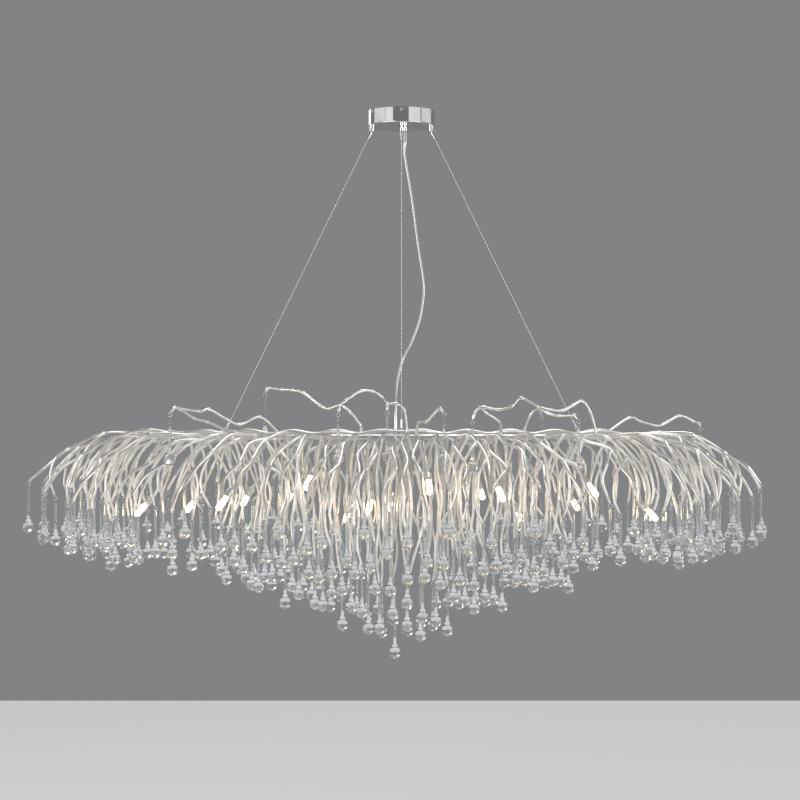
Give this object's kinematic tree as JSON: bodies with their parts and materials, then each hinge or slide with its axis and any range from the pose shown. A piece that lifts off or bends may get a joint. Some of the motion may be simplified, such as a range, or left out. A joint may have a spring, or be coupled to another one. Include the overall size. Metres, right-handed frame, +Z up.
{
  "type": "linear branch chandelier",
  "caption": "Long oval chandelier: silver branch arcs fall from a slim ring, carry clear glass ball drops and small capsule lamps, and hang by wires from a round canopy.",
  "frame": {"origin": "middle of the ceiling bracket's upper face, midway between its two screw holes", "axes": "+Z up, +X along the chandelier's length, -Y towards the side seen in the picture"},
  "size_m": [1.8012, 0.5955, 1.3154],
  "materials": {
    "satin_metal": "satin polished",
    "steel_frame": "satin",
    "steel": "satin",
    "chrome": "polished",
    "brass": "plain",
    "white_plastic": "matte",
    "clear_cord": "translucent",
    "clear_glass": "clear, polished",
    "bulb_glass": "clear",
    "bulb_glow": "glowing"
  },
  "bodies": {
    "canopy": {"ceiling_bracket": "steel", "earth_screw": "brass", "terminal_block": "white_plastic", "canopy_shell": "chrome", "canopy_screws": "chrome", "side_bushes": "chrome", "centre_bush": "chrome", "bush_nuts": "chrome", "canopy_lead": "clear_cord"},
    "fixture": {"wire_grippers": "chrome", "wire_left": "steel", "wire_centre": "steel", "wire_right": "steel", "wire_anchors": "chrome", "box_nuts": "chrome", "cord_sleeve": "chrome", "power_cord": "clear_cord", "cord_gland": "chrome", "spine_frame": "steel_frame", "spine_runners": "satin_metal", "junction_box": "white_plastic", "junction_cover": "white_plastic", "cover_screws": "chrome", "connector_block": "white_plastic", "lamp_knuckles": "satin_metal", "lamp_arms": "satin_metal", "lamp_sockets": "chrome", "bulb_glasses": "bulb_glass", "bulb_cores": "bulb_glow", "root_knuckles": "satin_metal", "top_arches": "satin_metal", "branches_right_end": "satin_metal", "branches_back_1": "satin_metal", "branches_back_2": "satin_metal", "branches_back_3": "satin_metal", "branches_back_4": "satin_metal", "branches_back_5": "satin_metal", "branches_left_end": "satin_metal", "branches_front_1": "satin_metal", "branches_front_2": "satin_metal", "branches_front_3": "satin_metal", "branches_front_4": "satin_metal", "branches_front_5": "satin_metal", "twig_eyes": "chrome", "wire_links": "chrome", "drops_right": "clear_glass", "drops_back": "clear_glass", "drops_left": "clear_glass", "drops_front": "clear_glass", "drops_of_arches": "clear_glass"},
    "release_left": {"release_plunger_left": "chrome"},
    "release_centre": {"release_plunger_centre": "chrome"},
    "release_right": {"release_plunger_right": "chrome"},
    "swing_drop_1": {"swing_drop_1": "clear_glass"},
    "swing_drop_2": {"swing_drop_2": "clear_glass"},
    "swing_drop_3": {"swing_drop_3": "clear_glass"},
    "swing_drop_4": {"swing_drop_4": "clear_glass"},
    "swing_drop_5": {"swing_drop_5": "clear_glass"},
    "swing_drop_6": {"swing_drop_6": "clear_glass"}
  },
  "joints": [
    {"name": "fixture_swing", "type": "hinge", "parent": "canopy", "child": "fixture", "pos_m": [0, 0, -0.047], "axis": [1, 0, 0], "range_deg": [-8, 8]},
    {"name": "release_left", "type": "slide", "parent": "fixture", "child": "release_left", "axis": [0.439, 0, 0.8985], "range_m": [0, 0.002], "stiffness_N_per_m": 1500},
    {"name": "release_centre", "type": "slide", "parent": "fixture", "child": "release_centre", "axis": [0, 0, 1], "range_m": [0, 0.002], "stiffness_N_per_m": 1500},
    {"name": "release_right", "type": "slide", "parent": "fixture", "child": "release_right", "axis": [-0.439, 0, 0.8985], "range_m": [0, 0.002], "stiffness_N_per_m": 1500},
    {"name": "drop_1_swing", "type": "hinge", "parent": "fixture", "child": "swing_drop_1", "pos_m": [0.874, 0.01999, -0.91463], "axis": [1, 0, 0], "range_deg": [-12, 12]},
    {"name": "drop_2_swing", "type": "hinge", "parent": "fixture", "child": "swing_drop_2", "pos_m": [-0.89819, -0.01991, -0.90668], "axis": [1, 0, 0], "range_deg": [-12, 12]},
    {"name": "drop_3_swing", "type": "hinge", "parent": "fixture", "child": "swing_drop_3", "pos_m": [-0.31012, -0.23633, -0.96186], "axis": [1, 0, 0], "range_deg": [-12, 12]},
    {"name": "drop_4_swing", "type": "hinge", "parent": "fixture", "child": "swing_drop_4", "pos_m": [-0.1251, -0.24991, -0.96932], "axis": [1, 0, 0], "range_deg": [-12, 12]},
    {"name": "drop_5_swing", "type": "hinge", "parent": "fixture", "child": "swing_drop_5", "pos_m": [0.05887, -0.25133, -0.97084], "axis": [1, 0, 0], "range_deg": [-12, 12]},
    {"name": "drop_6_swing", "type": "hinge", "parent": "fixture", "child": "swing_drop_6", "pos_m": [0.24143, -0.24108, -0.96114], "axis": [1, 0, 0], "range_deg": [-12, 12]}
  ]
}
